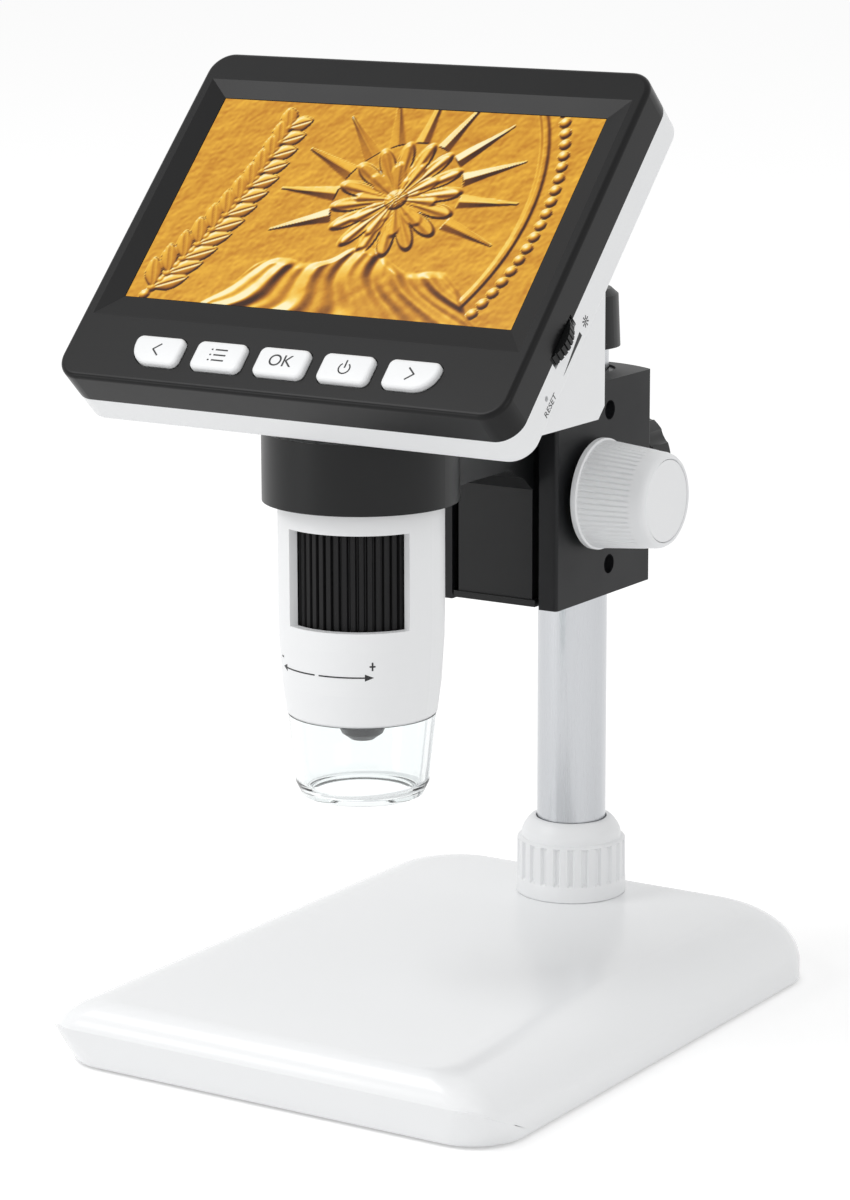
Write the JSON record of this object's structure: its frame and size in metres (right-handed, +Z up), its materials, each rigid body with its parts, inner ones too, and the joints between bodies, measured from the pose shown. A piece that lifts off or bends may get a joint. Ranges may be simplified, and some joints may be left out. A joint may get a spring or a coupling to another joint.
{
  "type": "lcd digital microscope",
  "caption": "Desk microscope with a tilted screen over a white barrel, on a column stand with rack and pinion focusing.",
  "frame": {"origin": "under the middle of the non-slip pad, on the desk", "axes": "+Z up, -Y towards the user and the screen's face, +X to the user's right"},
  "size_m": [0.1125, 0.1553, 0.2125],
  "materials": {
    "rubber": "satin",
    "white_base": "gloss",
    "white_plastic": "satin",
    "steel": "satin",
    "chromed_steel": "gloss",
    "black_plastic": "satin",
    "dark_plastic": "satin",
    "black_metal": "satin",
    "brass": "satin",
    "clear_glass": "gloss",
    "clear_plastic": "gloss",
    "circuit_board": "satin",
    "gloss_black": "gloss",
    "screen_glass": "gloss",
    "aluminium": "satin"
  },
  "bodies": {
    "base": {"non_slip_pad": "rubber", "base_tray": "white_base", "base_shell": "white_base", "ballast_plate": "steel", "base_screws": "steel", "post_socket": "white_base", "column_tube": "chromed_steel", "column_cap": "black_plastic"},
    "collar": {"lock_collar": "white_plastic"},
    "height": {"height_sleeve": "dark_plastic"},
    "block": {"block_housing": "black_metal", "side_screws": "steel", "shaft_bushes": "brass"},
    "clamp": {"clamp_knob": "black_plastic", "clamp_screw": "steel"},
    "carriage": {"carriage": "black_plastic", "focus_rack": "brass", "ring_liner": "rubber"},
    "shaft": {"pinion": "brass", "pinion_shaft": "steel", "focus_knob_right": "white_plastic", "focus_knob_left": "white_plastic", "knob_end_discs": "white_plastic"},
    "head": {"barrel_shell": "white_plastic", "led_board": "circuit_board", "led_lamps": "clear_plastic", "sensor_board": "circuit_board", "view_cap": "clear_plastic", "front_bezel": "gloss_black", "rear_cover": "white_plastic", "lcd_panel": "screen_glass", "display_frame": "aluminium", "main_board": "circuit_board", "battery": "dark_plastic", "button_board": "circuit_board", "tact_switches": "dark_plastic", "dial_potentiometer": "dark_plastic", "reset_switch": "dark_plastic", "usb_socket": "steel", "card_slot": "steel", "case_screws": "steel"},
    "wheel": {"focus_wheel": "rubber"},
    "lens": {"lens_barrel": "dark_plastic", "objective_lens": "clear_glass"},
    "key_left": {"button_left": "white_plastic"},
    "key_menu": {"button_menu": "white_plastic"},
    "key_ok": {"button_ok": "white_plastic"},
    "key_power": {"button_power": "white_plastic"},
    "key_right": {"button_right": "white_plastic"},
    "dial": {"brightness_dial": "black_plastic"}
  },
  "joints": [
    {"name": "collar_turn", "type": "hinge", "parent": "base", "child": "collar", "pos_m": [0, 0.055, 0.025], "axis": [0, 0, 1], "range_deg": [0, 270]},
    {"name": "height_slide", "type": "slide", "parent": "base", "child": "height", "axis": [0, 0, 1], "range_m": [-0.033, 0.0045]},
    {"name": "block_swivel", "type": "hinge", "parent": "height", "child": "block", "pos_m": [0, 0.055, 0.1152], "axis": [0, 0, 1], "range_deg": [-120, 120]},
    {"name": "clamp_turn", "type": "hinge", "parent": "block", "child": "clamp", "pos_m": [0, 0.075, 0.1152], "axis": [0, 1, 0], "range_deg": [0, 180]},
    {"name": "focus_slide", "type": "slide", "parent": "block", "child": "carriage", "axis": [0, 0, 1], "range_m": [-0.005, 0.018]},
    {"name": "pinion_turn", "type": "hinge", "parent": "block", "child": "shaft", "pos_m": [0, 0.0361, 0.1152], "axis": [1, 0, 0], "range_deg": [-173.89, 78.39]},
    {"name": "head_swivel", "type": "hinge", "parent": "carriage", "child": "head", "pos_m": [0, -0.0332, 0.131], "axis": [0, 0, 1], "range_deg": [-90, 90]},
    {"name": "wheel_turn", "type": "hinge", "parent": "head", "child": "wheel", "pos_m": [0, -0.0332, 0.1085], "axis": [0, 0, 1], "range_deg": [-120, 120]},
    {"name": "lens_slide", "type": "slide", "parent": "head", "child": "lens", "axis": [0, 0, 1], "range_m": [-0.003, 0.003]},
    {"name": "key_left_press", "type": "slide", "parent": "head", "child": "key_left", "axis": [0, 0.7193, -0.6947], "range_m": [0, 0.0008], "stiffness_N_per_m": 400},
    {"name": "key_menu_press", "type": "slide", "parent": "head", "child": "key_menu", "axis": [0, 0.7193, -0.6947], "range_m": [0, 0.0008], "stiffness_N_per_m": 400},
    {"name": "key_ok_press", "type": "slide", "parent": "head", "child": "key_ok", "axis": [0, 0.7193, -0.6947], "range_m": [0, 0.0008], "stiffness_N_per_m": 400},
    {"name": "key_power_press", "type": "slide", "parent": "head", "child": "key_power", "axis": [0, 0.7193, -0.6947], "range_m": [0, 0.0008], "stiffness_N_per_m": 400},
    {"name": "key_right_press", "type": "slide", "parent": "head", "child": "key_right", "axis": [0, 0.7193, -0.6947], "range_m": [0, 0.0008], "stiffness_N_per_m": 400},
    {"name": "dial_turn", "type": "hinge", "parent": "head", "child": "dial", "pos_m": [0.048, -0.04327, 0.16218], "axis": [0, -0.7193, 0.6947], "range_deg": [-135, 135]}
  ],
  "couplings": [
    {"joint": "pinion_turn", "follows": "focus_slide", "rad_per_m": -166.67},
    {"joint": "wheel_turn", "follows": "lens_slide", "rad_per_m": 698.13}
  ]
}
